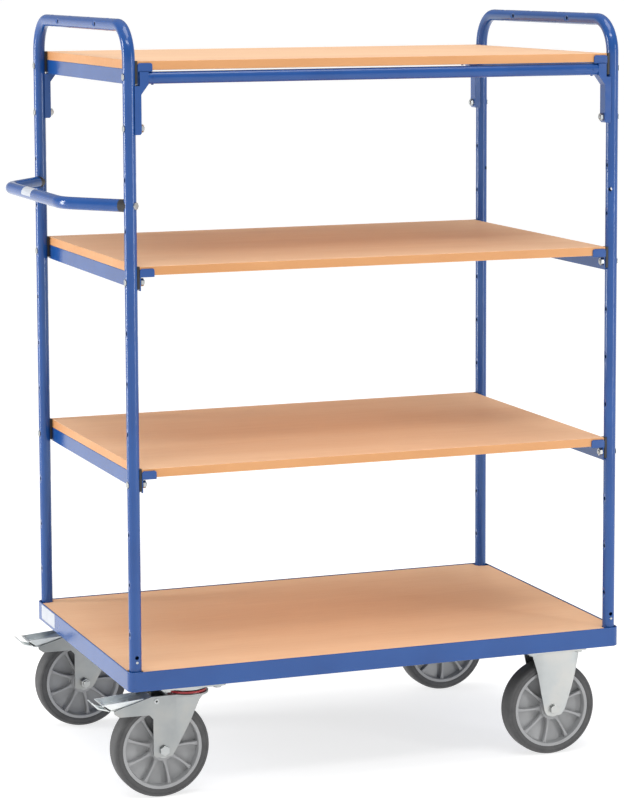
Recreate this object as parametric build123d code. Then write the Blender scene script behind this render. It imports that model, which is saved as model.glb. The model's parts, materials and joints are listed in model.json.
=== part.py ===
from build123d import *
import math
import os

# Four-level shelf trolley: steel deck frame, two bent-tube end frames, three bolted shelves,
# a push handle at the left end, two swivel casters with brakes under it and two fixed casters
# at the right end. Millimetres, Z up, X along the deck. All functions work with the deck's
# centre at X = 0 and Y = 0 and the floor at Z = 0. write_node moves the finished piece so that
# the origin is under the middle of the whole trolley, handle included.

# ---------------------------------------------------------------- driving dimensions
deck_length = 1075.0
deck_width = 700.0
skirt_height = 40.0
skirt_wall = 3.0
deck_corner_radius = 16.0
ledge_width = 27.0
ledge_thickness = 3.0
board_thickness = 18.0
board_recess = 1.5
board_gap = 0.6
board_edge_round = 1.2
corner_plate_side = 58.0
corner_plate_thickness = 3.0

post_radius = 12.5
post_wall = 2.5
post_gap = 2.4
post_notch_gap = 1.5
frame_top_height = 1555.5
frame_bend_radius = 70.0
post_fit = 0.1

hole_radius = 4.25
hole_pitch = 100.0
top_hole_height = 1444.0
hole_count = 12
dimple_depth = 1.6
dimple_floor_radius = hole_radius + 2.5
dimple_mouth_radius = dimple_floor_radius + 7.0
dimple_flare_height = dimple_depth + 0.4
bar_hole_spacing = 137.0
lock_hole_rise = 28.0
lock_hole_radius = 4.0
lock_screw_drop = 9.5

shelf_end_gap = 3.1
shelf_side_reach = 6.4
shelf_holes = {"top": 0, "middle": 4, "lower": 8}
angle_hole_drop = 13.0
angle_leg = 30.0
angle_thickness = 3.0
tab_height = 17.0
tab_round = 5.0
bolt_radius = 4.0
bolt_head_radius = 6.5
bolt_head_height = 4.0
nut_radius = 7.0
nut_height = 6.5
spacer_width = 16.0
spacer_drop = 26.0
spacer_wrap = 6.0

rail_radius = 12.0
rail_wall = 1.5
rail_end_inset = 21.0
bracket_wall = 2.5
bracket_depth = 13.5
bracket_tail = 12.0
gusset_drop = 20.0
spigot_length = 22.0
rivet_radius = 2.6

handle_height = 1194.0
handle_radius = 12.5
handle_wall = 2.0
handle_angle = 39.0
handle_arm = 162.0
handle_bend_radius = 75.0
handle_spacer_length = 10.0
handle_plug_length = 14.0

wheel_radius = 100.0
wheel_width = 44.0
tyre_depth = 17.5
tyre_shoulder = 12.0
rim_ring_depth = 6.5
rim_ring_width = 42.0
rim_web = 6.0
rib_count = 9
rib_thickness = 4.5
rib_rise = 13.0
hub_radius = 24.0
hub_width = 48.0
bearing_radius = 14.2
sleeve_radius = 10.0
axle_radius = 6.0
axle_fit = 0.1
roller_radius = 1.95
roller_gap = 0.15
roller_count = 10
roller_length = 40.0

caster_x = 400.0
caster_y = 288.0
swivel_offset = 58.0
plate_length = 135.0
plate_width = 108.0
plate_thickness = 5.0
plate_bolt_x = 105.0
plate_bolt_y = 80.0
plate_bolt_radius = 5.0
beam_width = 140.0
beam_wall = 3.0
fork_inner = 29.5
fork_wall = 3.0
fork_foot = 14.0
crown_gap = 7.0
crown_thickness = 4.0
crown_radius = 44.0
race_radius = 38.0
race_height = 5.0
seal_radius = 40.0
seal_height = 4.0
race_gap = 2.4
upper_race_height = 7.6
ball_radius = 3.0
ball_circle = 27.0
ball_count = 12
kingpin_radius = 8.0
kingpin_head = 13.0
running_fit = 0.08
thread_gap = 0.05

pedal_pivot_back = 73.0
pedal_pivot_drop = 6.0
pedal_rivet_radius = 3.5
pedal_ear = 2.5
pedal_plate = 2.5
pedal_side_gap = 0.5
shoe_gap = 4.2
shoe_half_width = 14.0

# ---------------------------------------------------------------- worked-out places
crown_height = 2 * wheel_radius + crown_gap
crown_top = crown_height + crown_thickness
race_top = crown_top + race_height
plate_bottom = race_top + race_gap + upper_race_height
skirt_bottom = plate_bottom + plate_thickness
deck_edge_height = skirt_bottom + skirt_height
lock_hole_height = deck_edge_height + lock_hole_rise
pedal_pivot_height = crown_height - pedal_pivot_drop
inner_length = deck_length - 2 * skirt_wall
inner_width = deck_width - 2 * skirt_wall
post_x = inner_length / 2 - post_gap - post_radius
post_y = inner_width / 2 - post_gap - post_radius
post_base = skirt_bottom + corner_plate_thickness
board_top = deck_edge_height - board_recess
board_bottom = board_top - board_thickness
ledge_bottom = board_bottom - ledge_thickness
bar_height = frame_top_height - post_radius
hole_heights = [top_hole_height - hole_pitch * k for k in range(hole_count)]
shelf_half = post_x - post_radius - shelf_end_gap
shelf_width = 2 * (post_y + shelf_side_reach)
bolt_drop = board_thickness + angle_hole_drop
shelf_heights = {shelf: hole_heights[k] + bolt_drop for shelf, k in shelf_holes.items()}
spacer_height = board_thickness + spacer_drop
head_seat = post_radius - dimple_depth + 0.65
bolt_head_corner = bolt_head_radius / math.cos(math.radians(30))
rail_height = shelf_heights["top"] - board_thickness - angle_thickness - rail_radius
rail_end_x = shelf_half - rail_end_inset
bracket_web_x = post_x - math.sqrt(post_radius**2 - (rail_radius - bracket_wall) ** 2) - bracket_depth
rim_radius = wheel_radius - tyre_depth
axle_x = {"left": -caster_x - swivel_offset, "right": caster_x}
handle_dir = Vector(-math.sin(math.radians(handle_angle)), math.cos(math.radians(handle_angle)), 0)
handle_corner_x = -post_x + handle_dir.X * handle_arm
handle_corner_y = -post_y + handle_dir.Y * handle_arm
lowest_x = handle_corner_x - handle_radius
highest_x = deck_length / 2
deck_centre_x = -(lowest_x + highest_x) / 2

ENDS = {"left": -1, "right": 1}
SIDES = {"front": -1, "back": 1}
X_AXIS = (1, 0, 0)
Y_AXIS = (0, 1, 0)
Z_AXIS = (0, 0, 1)


# ---------------------------------------------------------------- small helpers
on_base = (Align.CENTER, Align.CENTER, Align.MIN)


def block(x0, x1, y0, y1, z0, z1):
    """A box between two corners, given in any order."""
    centre = ((x0 + x1) / 2, (y0 + y1) / 2, (z0 + z1) / 2)
    return Pos(*centre) * Box(abs(x1 - x0), abs(y1 - y0), abs(z1 - z0))


def rod(start, direction, radius, length):
    """A round bar from start along direction."""
    return extrude(Plane(origin=start, z_dir=direction) * Circle(radius), amount=length)


def pipe(start, direction, radius, inner, length):
    """A round tube from start along direction."""
    ring = Circle(radius) - Circle(inner)
    return extrude(Plane(origin=start, z_dir=direction) * ring, amount=length)


def hexagon(start, direction, flat_radius, length):
    """A hexagon bar whose flats are flat_radius from its axis."""
    face = RegularPolygon(flat_radius, 6, major_radius=False)
    return extrude(Plane(origin=start, z_dir=direction) * face, amount=length)


def side_plate(points, y0, y1, round_points=None):
    """A plate cut to an outline in X and Z, between two Y planes; round_points gives corner radii."""
    face = make_face(Polyline(*[(x, z) for x, z in points], close=True))
    for radius, picks in (round_points or {}).items():
        corners = [min(face.vertices(), key=lambda v: abs(v.X - x) + abs(v.Y - z)) for x, z in picks]
        face = fillet(corners, radius)
    plane = Plane(origin=(0, max(y0, y1), 0), x_dir=X_AXIS, z_dir=(0, -1, 0))
    return extrude(plane * face, amount=abs(y1 - y0))


def spun(points, centre):
    """A ring or disc turned about a Y axis through centre; points are (radius, y)."""
    face = make_face(Polyline(*[(radius, y) for radius, y in points], close=True))
    plane = Plane(origin=centre, x_dir=X_AXIS, z_dir=Z_AXIS)
    return revolve(plane * face, axis=Axis(centre, Y_AXIS), revolution_arc=360)


def joined(shapes):
    """Separate solids kept side by side in one node."""
    solids = []
    for shape in shapes:
        solids.extend(shape.solids())
    return Compound(children=solids)


def write_node(name, shape):
    moved = Pos(deck_centre_x, 0, 0) * shape
    export_step(moved, f"parts/{name}.step")


def corners():
    """Every corner of the trolley as end sign and side sign."""
    return [(sx, sy) for sx in ENDS.values() for sy in SIDES.values()]


# ---------------------------------------------------------------- deck
def rounded_slab(length, width, radius, z0, z1):
    return Pos(0, 0, z0) * extrude(RectangleRounded(length, width, radius), amount=z1 - z0)


def make_deck_frame():
    outer = rounded_slab(deck_length, deck_width, deck_corner_radius, skirt_bottom, deck_edge_height)
    inner_round = deck_corner_radius - skirt_wall
    inside = rounded_slab(inner_length, inner_width, inner_round, skirt_bottom, deck_edge_height)
    ledge = rounded_slab(inner_length, inner_width, inner_round, ledge_bottom, board_bottom)
    ledge -= block(
        -inner_length / 2 + ledge_width, inner_length / 2 - ledge_width,
        -inner_width / 2 + ledge_width, inner_width / 2 - ledge_width,
        ledge_bottom, board_bottom)
    frame = outer - inside + ledge
    for sx, sy in corners():
        frame -= rod((sx * post_x, sy * post_y, ledge_bottom), Z_AXIS, post_radius + post_fit, ledge_thickness)
    return frame


def make_deck_board():
    length = inner_length - 2 * board_gap
    width = inner_width - 2 * board_gap
    board = rounded_slab(length, width, deck_corner_radius - skirt_wall, board_bottom, board_top)
    notch = post_radius + post_notch_gap
    for sx, sy in corners():
        x, y = sx * post_x, sy * post_y
        far_x, far_y = sx * deck_length / 2, sy * deck_width / 2
        board -= rod((x, y, board_bottom), Z_AXIS, notch, board_thickness)
        board -= block(x, far_x, y - sy * notch, far_y, board_bottom, board_top)
        board -= block(x - sx * notch, far_x, y, far_y, board_bottom, board_top)
    return board


def make_corner_plates():
    plates = []
    for sx, sy in corners():
        x1, y1 = sx * inner_length / 2, sy * inner_width / 2
        plate = block(x1 - sx * corner_plate_side, x1, y1 - sy * corner_plate_side, y1, skirt_bottom, post_base)
        inside = rounded_slab(inner_length, inner_width, deck_corner_radius - skirt_wall, skirt_bottom, post_base)
        plates.append(plate & inside)
    return joined(plates)


def make_caster_beam(sx):
    """A channel across the deck that the two casters of one end are bolted to."""
    x = sx * caster_x
    half = beam_width / 2
    y = inner_width / 2
    beam = block(x - half, x + half, -y, y, skirt_bottom, ledge_bottom)
    beam -= block(x - half + beam_wall, x + half - beam_wall, -y, y, skirt_bottom + beam_wall, ledge_bottom)
    for px, py in plate_bolt_places(sx):
        beam -= rod((px, py, skirt_bottom), Z_AXIS, plate_bolt_radius + axle_fit, beam_wall)
    return beam


# ---------------------------------------------------------------- end frames
def bent_tube(points, bend, radius, wall):
    path = FilletPolyline(*points, radius=bend)
    start = Vector(*points[0])
    direction = Vector(*points[1]) - start
    profile = Plane(origin=start, z_dir=direction) * Circle(radius)
    bore = Plane(origin=start, z_dir=direction) * Circle(radius - wall)
    return sweep(profile, path=path) - sweep(bore, path=path)


def dimpled_hole(centre, direction):
    """The cut of a through hole with a pressed dimple round each mouth."""
    axis = Vector(*direction)
    centre = Vector(*centre)
    start = centre - axis * (post_radius + 1)
    cut = rod(start, axis, hole_radius, 2 * post_radius + 2)
    for side in (-1, 1):
        floor = centre + axis * side * (post_radius - dimple_depth)
        flare = Cone(dimple_floor_radius, dimple_mouth_radius, dimple_flare_height, align=on_base)
        cut += Plane(origin=floor, z_dir=axis * side) * flare
    return cut


def handle_bolt_direction(sx, sy):
    """From a post's axis towards the handle's arm, for the handle at that end."""
    return Vector(sx * abs(handle_dir.X), -sy * handle_dir.Y, 0)


def make_end_frame(sx):
    x = sx * post_x
    points = [(x, -post_y, post_base), (x, -post_y, bar_height), (x, post_y, bar_height), (x, post_y, post_base)]
    frame = bent_tube(points, frame_bend_radius, post_radius, post_wall)
    for sy in SIDES.values():
        y = sy * post_y
        for z in hole_heights:
            frame -= dimpled_hole((x, y, z), X_AXIS)
        axis = handle_bolt_direction(sx, sy)
        centre = Vector(x, y, handle_height)
        frame -= rod(centre - axis * (post_radius + 1), axis, hole_radius, 2 * post_radius + 2)
        frame -= rod(centre - axis * head_seat, axis * -1, bolt_head_corner + 0.4, post_radius)
        frame -= rod((x, y + sy * 1, lock_hole_height), (0, sy, 0), lock_hole_radius, post_radius)
    for k in (-1.5, -0.5, 0.5, 1.5):
        frame -= dimpled_hole((x, k * bar_hole_spacing, bar_height), Z_AXIS)
    for k in (-1, 1):
        frame -= dimpled_hole((x, k * bar_hole_spacing, bar_height), X_AXIS)
    return frame


def make_lock_screws():
    """A small domed screw under each lock hole, in the outer wall of the post."""
    screws = []
    for sx, sy in corners():
        x, y, z = sx * post_x, sy * post_y, lock_hole_height - lock_screw_drop
        screw = rod((x, y + sy * (post_radius - 0.1), z), (0, sy, 0), 2.6, 1.6)
        screws.append(screw - rod((x, y, skirt_bottom), Z_AXIS, post_radius, deck_edge_height))
    return joined(screws)


# ---------------------------------------------------------------- shelves
def make_shelf_board(height):
    board = block(-shelf_half, shelf_half, -shelf_width / 2, shelf_width / 2, height - board_thickness, height)
    return fillet(board.edges(), board_edge_round)


def make_shelf_angle(sx, height):
    """The steel angle under one end of a shelf, with a tab turned up in front of the board's edge."""
    bottom = height - board_thickness
    outer = sx * shelf_half
    inner = sx * (shelf_half - angle_leg)
    half = shelf_width / 2
    angle = block(inner, outer, -half, half, bottom - angle_thickness, bottom)
    angle += block(outer - sx * angle_thickness, outer, -half, half, bottom - angle_leg, bottom)
    tab_bottom = bottom - angle_thickness
    for sy in SIDES.values():
        tab = block(inner, outer, sy * half, sy * (half + angle_thickness), tab_bottom, tab_bottom + tab_height)
        tips = tab.edges().filter_by(Axis.Y).sort_by(Axis.Z)[-2:]
        angle += fillet(tips, tab_round)
        bolt_z = height - bolt_drop
        start = (sx * (shelf_half - angle_thickness - 1), sy * post_y, bolt_z)
        angle -= rod(start, (sx, 0, 0), hole_radius, angle_thickness + 2)
    return angle


def make_shelf_spacers():
    """Black plastic saddles between each post and the shelf angles."""
    spacers = []
    for height in shelf_heights.values():
        top = height
        for sx, sy in corners():
            x0, x1 = sx * shelf_half, sx * (shelf_half + spacer_wrap)
            y = sy * post_y
            saddle = block(x0, x1, y - spacer_width / 2, y + spacer_width / 2, top - spacer_height, top)
            saddle -= rod((sx * post_x, y, top - spacer_height - 1), Z_AXIS, post_radius + post_fit, spacer_height + 2)
            saddle -= rod((x0 - sx, y, height - bolt_drop), (sx, 0, 0), hole_radius, spacer_wrap + 2)
            spacers.append(saddle)
    return joined(spacers)


def bolt_and_nut(sx, sy, height, nut_face_x):
    """A hexagon bolt from outside the post, with its nut inside at nut_face_x."""
    y = sy * post_y
    head_x = sx * (post_x + head_seat)
    tip_x = sx * (nut_face_x - nut_height - 2.0)
    bolt = hexagon((head_x, y, height), (sx, 0, 0), bolt_head_radius, bolt_head_height)
    bolt += rod((tip_x, y, height), (sx, 0, 0), bolt_radius, abs(head_x - tip_x))
    nut = hexagon((sx * nut_face_x, y, height), (-sx, 0, 0), nut_radius, nut_height)
    nut -= rod((sx * (nut_face_x + 1), y, height), (-sx, 0, 0), bolt_radius + thread_gap, nut_height + 2)
    return [bolt, nut]


def make_shelf_bolts():
    pieces = []
    for shelf, height in shelf_heights.items():
        nut_face_x = bracket_web_x if shelf == "top" else shelf_half - angle_thickness
        for sx, sy in corners():
            pieces += bolt_and_nut(sx, sy, height - bolt_drop, nut_face_x)
    return joined(pieces)


# ---------------------------------------------------------------- top shelf rails and brackets
def make_top_rail(sy):
    length = 2 * rail_end_x
    return pipe((-rail_end_x, sy * post_y, rail_height), X_AXIS, rail_radius, rail_radius - rail_wall, length)


def make_rail_bracket(sx, sy):
    """A pressed channel that straddles the post, spreads into a gusset and plugs into the rail."""
    y = sy * post_y
    top = rail_height + rail_radius
    rail_bottom = rail_height - rail_radius
    end_z = hole_heights[1] - bracket_tail
    web = bracket_web_x
    edge = web + bracket_depth
    outline = [
        (rail_end_x, top), (edge, top), (edge, end_z), (web + 3, end_z), (web, end_z + 3),
        (web, rail_bottom - gusset_drop), (rail_end_x, rail_bottom)]
    bracket = side_plate([(sx * px, pz) for px, pz in outline], y - rail_radius, y + rail_radius)
    inner = rail_radius - bracket_wall
    bracket -= block(sx * (web + bracket_wall), sx * (edge + 1), y - inner, y + inner, end_z + bracket_wall, top + 1)
    pocket = [
        (rail_end_x + bracket_wall, top + 1), (web, top + 1), (web, rail_bottom - gusset_drop + 3 * bracket_wall),
        (rail_end_x + bracket_wall, rail_bottom + bracket_wall)]
    bracket -= side_plate([(sx * px, pz) for px, pz in pocket], y - inner, y + inner)
    spigot = rail_radius - rail_wall - post_fit
    bracket += rod((sx * (rail_end_x - spigot_length), y, rail_height), (sx, 0, 0), spigot, spigot_length + 1)
    bracket -= rod((sx * post_x, y, end_z - 5), Z_AXIS, post_radius + post_fit, 2 * hole_pitch)
    for z in hole_heights[:2]:
        bracket -= rod((sx * (web - 1), y, z), (sx, 0, 0), hole_radius, bracket_depth)
    slot_bottom = shelf_heights["top"] - board_thickness - angle_leg - 0.2
    slot_x = shelf_half - angle_thickness - 0.2
    reach = 2 * rail_radius
    bracket -= block(sx * slot_x, sx * (edge + 2), y - reach, y + reach, slot_bottom, top + 1)
    return bracket


def make_rail_brackets():
    return joined([make_rail_bracket(sx, sy) for sx, sy in corners()])


def make_bracket_bolts():
    pieces = []
    for sx, sy in corners():
        pieces += bolt_and_nut(sx, sy, hole_heights[1], bracket_web_x)
    return joined(pieces)


def make_rail_rivets():
    """Dome rivets that hold each rail on its spigots, one in front and one below."""
    rivets = []
    for sx, sy in corners():
        x = sx * (rail_end_x - 11)
        y = sy * post_y
        for direction in ((0, sy, 0), (0, 0, -1)):
            axis = Vector(*direction)
            start = Vector(x, y, rail_height) + axis * (rail_radius - 0.3)
            rivet = rod(start, axis, rivet_radius, 2.0)
            rivets.append(rivet - rod((x - 5, y, rail_height), X_AXIS, rail_radius, 10))
    return joined(rivets)


# ---------------------------------------------------------------- push handle
def handle_arm_start(sy):
    """The post's centre at handle height and the arm's direction from it."""
    return Vector(-post_x, sy * post_y, handle_height), handle_bolt_direction(-1, sy)


def make_push_handle():
    reach = post_radius + handle_spacer_length
    ends = {}
    for sy in SIDES.values():
        centre, axis = handle_arm_start(sy)
        ends[sy] = centre + axis * reach
    points = [
        tuple(ends[-1]), (handle_corner_x, handle_corner_y, handle_height),
        (handle_corner_x, -handle_corner_y, handle_height), tuple(ends[1])]
    handle = bent_tube(points, handle_bend_radius, handle_radius, handle_wall)
    for sy in SIDES.values():
        _, axis = handle_arm_start(sy)
        plug = pipe(ends[sy], axis, handle_radius - handle_wall, bolt_radius + running_fit, handle_plug_length)
        handle += plug
    return handle


def make_handle_spacers():
    spacers = []
    for sy in SIDES.values():
        centre, axis = handle_arm_start(sy)
        ring = pipe(centre + axis * 4, axis, handle_radius, hole_radius, post_radius + handle_spacer_length - 4)
        post = rod((centre.X, centre.Y, handle_height - 2 * post_radius), Z_AXIS, post_radius + post_fit, 4 * post_radius)
        spacers.append((ring - post).solids().sort_by(SortBy.VOLUME)[-1])
    return joined(spacers)


def make_handle_bolts():
    bolts = []
    for sy in SIDES.values():
        centre, axis = handle_arm_start(sy)
        head = centre - axis * head_seat
        bolt = hexagon(head, axis * -1, bolt_head_radius, bolt_head_height)
        bolt += rod(head, axis, bolt_radius, head_seat + post_radius + handle_spacer_length + handle_plug_length)
        bolts.append(bolt)
    return joined(bolts)


# ---------------------------------------------------------------- wheels
def wheel_centre(end, sy):
    return (axle_x[end], sy * caster_y, wheel_radius)


def make_tyre(centre):
    half = wheel_width / 2
    face = make_face(Polyline(
        (rim_radius, -half + 1.5), (rim_radius + 4, -half), (wheel_radius, -half),
        (wheel_radius, half), (rim_radius + 4, half), (rim_radius, half - 1.5), close=True))
    shoulders = face.vertices().sort_by(Axis.X)[-2:]
    face = fillet(shoulders, tyre_shoulder)
    plane = Plane(origin=centre, x_dir=X_AXIS, z_dir=Z_AXIS)
    return revolve(plane * face, axis=Axis(centre, Y_AXIS), revolution_arc=360)


def make_rim(centre):
    ring = rim_ring_width / 2
    hub = hub_width / 2
    web = rim_web / 2
    inside = rim_radius - rim_ring_depth
    rim = spun([
        (bearing_radius, -hub), (hub_radius, -hub), (hub_radius + 3, -web), (inside - 2, -web),
        (inside + 2, -ring), (rim_radius, -ring), (rim_radius, ring), (inside + 2, ring),
        (inside - 2, web), (hub_radius + 3, web), (hub_radius, hub), (bearing_radius, hub)], centre)
    rib = side_plate([(hub_radius - 2, -rib_thickness / 2), (inside + 1.5, -rib_thickness / 2),
                      (inside + 1.5, rib_thickness / 2), (hub_radius - 2, rib_thickness / 2)],
                     -web - rib_rise, web + rib_rise)
    for k in range(rib_count):
        rim += Pos(*centre) * Rot(0, 360 * (k + 0.25) / rib_count, 0) * rib
    return rim


def make_roller_bearing(centre):
    """A cage with loose rollers between the axle sleeve and the hub."""
    cage = pipe((centre[0], centre[1] - hub_width / 2 + 1, centre[2]), Y_AXIS, 13.3, 10.9, hub_width - 2)
    circle = (sleeve_radius + bearing_radius) / 2
    rollers = []
    for k in range(roller_count):
        turn = 2 * math.pi * k / roller_count
        x = centre[0] + circle * math.cos(turn)
        z = centre[2] + circle * math.sin(turn)
        start = (x, centre[1] - roller_length / 2, z)
        rollers.append(rod(start, Y_AXIS, roller_radius, roller_length))
        start = (x, centre[1] - roller_length / 2 - roller_gap, z)
        cage -= rod(start, Y_AXIS, roller_radius + roller_gap, roller_length + 2 * roller_gap)
    return joined([cage] + rollers)


def make_axle(centre, sy):
    """Axle bolt with its nut, the sleeve that the rollers run on and two end washers."""
    x, y, z = centre
    outer = fork_inner + fork_wall
    head = hexagon((x, y + sy * outer, z), (0, sy, 0), 9.0, 7.0)
    shank = rod((x, y + sy * outer, z), (0, -sy, 0), axle_radius, 2 * outer + 13)
    nut = hexagon((x, y - sy * outer, z), (0, -sy, 0), 9.0, 10.0)
    nut -= rod((x, y - sy * outer, z), (0, -sy, 0), axle_radius + thread_gap, 10.0)
    sleeve = pipe((x, y - fork_inner, z), Y_AXIS, sleeve_radius, axle_radius + axle_fit, 2 * fork_inner)
    washer_face = hub_width / 2 + 1
    for side in (-1, 1):
        washer = pipe((x, y + side * washer_face, z), (0, side, 0), 17.0, sleeve_radius - 0.5, fork_inner - washer_face)
        sleeve += washer
    return joined([head + shank, nut, sleeve])


# ---------------------------------------------------------------- caster plates and forks
def plate_bolt_places(sx):
    places = []
    for sy in SIDES.values():
        for dx in (-plate_bolt_x / 2, plate_bolt_x / 2):
            for dy in (-plate_bolt_y / 2, plate_bolt_y / 2):
                places.append((sx * caster_x + dx, sy * caster_y + dy))
    return places


def caster_plate(sx, sy):
    x, y = sx * caster_x, sy * caster_y
    plate = Pos(x, y, plate_bottom) * extrude(RectangleRounded(plate_length, plate_width, 8), amount=plate_thickness)
    for px, py in plate_bolt_places(sx):
        plate -= rod((px, py, plate_bottom - 1), Z_AXIS, plate_bolt_radius + axle_fit, plate_thickness + 2)
    return plate


def make_caster_bolts():
    """Hexagon bolts from below through each caster plate and beam, nut on top."""
    pieces = []
    for sx in ENDS.values():
        for x, y in plate_bolt_places(sx):
            head = hexagon((x, y, plate_bottom), (0, 0, -1), 7.5, 5.0)
            bolt = head + rod((x, y, plate_bottom), Z_AXIS, plate_bolt_radius, plate_thickness + beam_wall + 10)
            nut = hexagon((x, y, skirt_bottom + beam_wall), Z_AXIS, 7.5, 8.0)
            nut -= rod((x, y, skirt_bottom), Z_AXIS, plate_bolt_radius + thread_gap, 20)
            pieces += [bolt, nut]
    return joined(pieces)


def folded_leg(profile, outline, centre_y, sy, round_points):
    """A fork leg: a folded sheet (profile in X and outward Y) trimmed to an outline in X and Z."""
    outward = [(x, centre_y + sy * (fork_inner + dy)) for x, dy in profile]
    thick = [(x, centre_y + sy * (fork_inner + fork_wall + dy)) for x, dy in reversed(profile)]
    z0 = min(z for _, z in outline)
    z1 = max(z for _, z in outline)
    sheet = Pos(0, 0, z0) * extrude(make_face(Polyline(*outward, *thick, close=True)), amount=z1 - z0)
    near = centre_y + sy * (fork_inner - 15)
    far = centre_y + sy * (fork_inner + 15)
    return sheet & side_plate(outline, near, far, round_points)


def make_swivel_fork(sy):
    """Fork of a swivel caster: crown, lower ball race and two legs with a horn for the brake."""
    x, y = -caster_x, sy * caster_y
    foot = wheel_radius - fork_foot
    axle = x - swivel_offset
    back = axle - 22
    top = crown_height
    outline = [
        (x - 167, top - 20), (x - 150, top - 32), (x - 88, top - 33), (back, top - 42), (back, foot + 5),
        (back + 6, foot), (axle + 15, foot), (axle + 20, foot + 5), (x - 1, top - 55), (x + 20, top - 12),
        (x + 36, crown_top), (x - 84, crown_top)]
    rounds = {5.0: [(x - 167, top - 20), (x - 88, top - 33)], 3.0: [(axle + 15, foot), (back, foot + 5)]}
    fold_x = x - 32
    profile = [(x - 170, 0), (fold_x, 0), (x + 40, -(x + 40 - fold_x) * math.tan(math.radians(10)))]
    fork = None
    for side in SIDES.values():
        leg = folded_leg(profile, outline, y, side, rounds)
        leg -= rod((x - swivel_offset, y, wheel_radius), (0, side, 0), axle_radius + axle_fit, 60)
        pivot = (x - pedal_pivot_back, y, pedal_pivot_height)
        leg -= rod(pivot, (0, side, 0), pedal_rivet_radius + 0.05, 60)
        fork = leg if fork is None else fork + leg
    crown = rod((x, y, crown_height), Z_AXIS, crown_radius, crown_thickness)
    crown += block(x - 50, x, y - fork_inner, y + fork_inner, crown_height, crown_top)
    race = rod((x, y, crown_height), Z_AXIS, race_radius, crown_thickness + race_height)
    fork = fork + crown + race
    fork -= rod((x, y, crown_height - 1), Z_AXIS, kingpin_radius + running_fit, 30)
    fork -= Pos(x, y, race_top + race_gap / 2) * Torus(ball_circle, ball_radius + 0.05)
    return fork


def make_seal_ring(sy):
    x, y = -caster_x, sy * caster_y
    return pipe((x, y, race_top - seal_height), Z_AXIS, seal_radius, race_radius, seal_height)


def make_balls(sy):
    x, y = -caster_x, sy * caster_y
    balls = []
    for k in range(ball_count):
        turn = 2 * math.pi * k / ball_count
        place = (x + ball_circle * math.cos(turn), y + ball_circle * math.sin(turn), race_top + race_gap / 2)
        balls.append(Pos(*place) * Sphere(ball_radius))
    return joined(balls)


def make_swivel_head(sy):
    """Top plate of a swivel caster with its upper ball race."""
    x, y = -caster_x, sy * caster_y
    head = caster_plate(-1, sy)
    race_bottom = race_top + race_gap
    head += rod((x, y, race_bottom), Z_AXIS, seal_radius, plate_bottom - race_bottom)
    head -= Pos(x, y, race_top + race_gap / 2) * Torus(ball_circle, ball_radius + 0.35)
    head -= rod((x, y, race_bottom - 1), Z_AXIS, kingpin_radius, 40)
    return head


def make_kingpin(sy):
    x, y = -caster_x, sy * caster_y
    pin = rod((x, y, crown_height - 6), Z_AXIS, kingpin_head, 5.5)
    pin += rod((x, y, crown_height - 1), Z_AXIS, kingpin_radius, skirt_bottom - crown_height + 1)
    return pin


def make_fixed_fork(sy):
    """Fork of a fixed caster: its top plate and two legs with folded edges."""
    x, y = caster_x, sy * caster_y
    foot = wheel_radius - fork_foot
    top = plate_bottom
    outline = [
        (x - 50, top), (x - 46, top - 7), (x - 35, top - 50), (x - 28, top - 93), (x - 21, foot + 10),
        (x - 14, foot), (x + 17, foot), (x + 26, foot + 12), (x + 39, top - 89), (x + 50, top - 56),
        (x + 60, top - 14), (x + 62, top)]
    rounds = {8.0: [(x - 14, foot), (x + 17, foot)]}
    slope = math.tan(math.radians(20))
    profile = [(x - 52, -28 * slope), (x - 24, 0), (x + 41, 0), (x + 64, -23 * slope)]
    fork = caster_plate(1, sy)
    for side in SIDES.values():
        leg = folded_leg(profile, outline, y, side, rounds)
        leg -= rod((x, y, wheel_radius), (0, side, 0), axle_radius + axle_fit, 60)
        fork += leg
    return fork


# ---------------------------------------------------------------- brake
def make_brake_pedal(sy):
    """Total-stop pedal: two ears on the pivot, a sloping plate with a slot, a lip, a tread tab and the shoe."""
    x, y = -caster_x, sy * caster_y
    pivot_x, pivot_z = x - pedal_pivot_back, pedal_pivot_height
    ear_out = fork_inner - pedal_side_gap
    ear_in = ear_out - pedal_ear
    ear = [
        (pivot_x + 7, pivot_z - 4), (pivot_x + 7, pivot_z + 4), (pivot_x - 5, pivot_z + 6),
        (x - 166, pivot_z - 10.5), (x - 166, pivot_z - 14.5), (pivot_x - 8, pivot_z - 8), (pivot_x, pivot_z - 7)]
    pedal = None
    for side in SIDES.values():
        cheek = side_plate(ear, y + side * ear_in, y + side * ear_out)
        cheek -= rod((pivot_x, y, pivot_z), (0, side, 0), pedal_rivet_radius + running_fit, 2 * fork_inner)
        pedal = cheek if pedal is None else pedal + cheek
    top = [
        (pivot_x - 5, pivot_z + 6), (x - 166, pivot_z - 10.5), (x - 181, pivot_z), (x - 183, pivot_z - 2),
        (x - 168, pivot_z - 13.5), (pivot_x - 5, pivot_z + 6 - pedal_plate)]
    plate = side_plate(top, y - ear_out, y + ear_out)
    plate -= block(x - 158, x - 122, y - 3, y + 7, pivot_z - 21, pivot_z + 9)
    tread = [
        (x - 150, pivot_z - 9.5), (x - 172, pivot_z - 15), (x - 190, pivot_z - 9.5), (x - 203, pivot_z + 3.5),
        (x - 201, pivot_z + 5), (x - 188.5, pivot_z - 7), (x - 172, pivot_z - 12.4), (x - 150, pivot_z - 7)]
    tab = side_plate(tread, y - 15, y + 15)
    shoe = block(x - 100, x - 84, y - shoe_half_width, y + shoe_half_width, pivot_z - 11, pivot_z + 2)
    axle = (x - swivel_offset, y - fork_inner, wheel_radius)
    shoe -= rod(axle, Y_AXIS, wheel_radius + shoe_gap, 2 * fork_inner)
    return pedal + plate + tab + shoe


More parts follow.
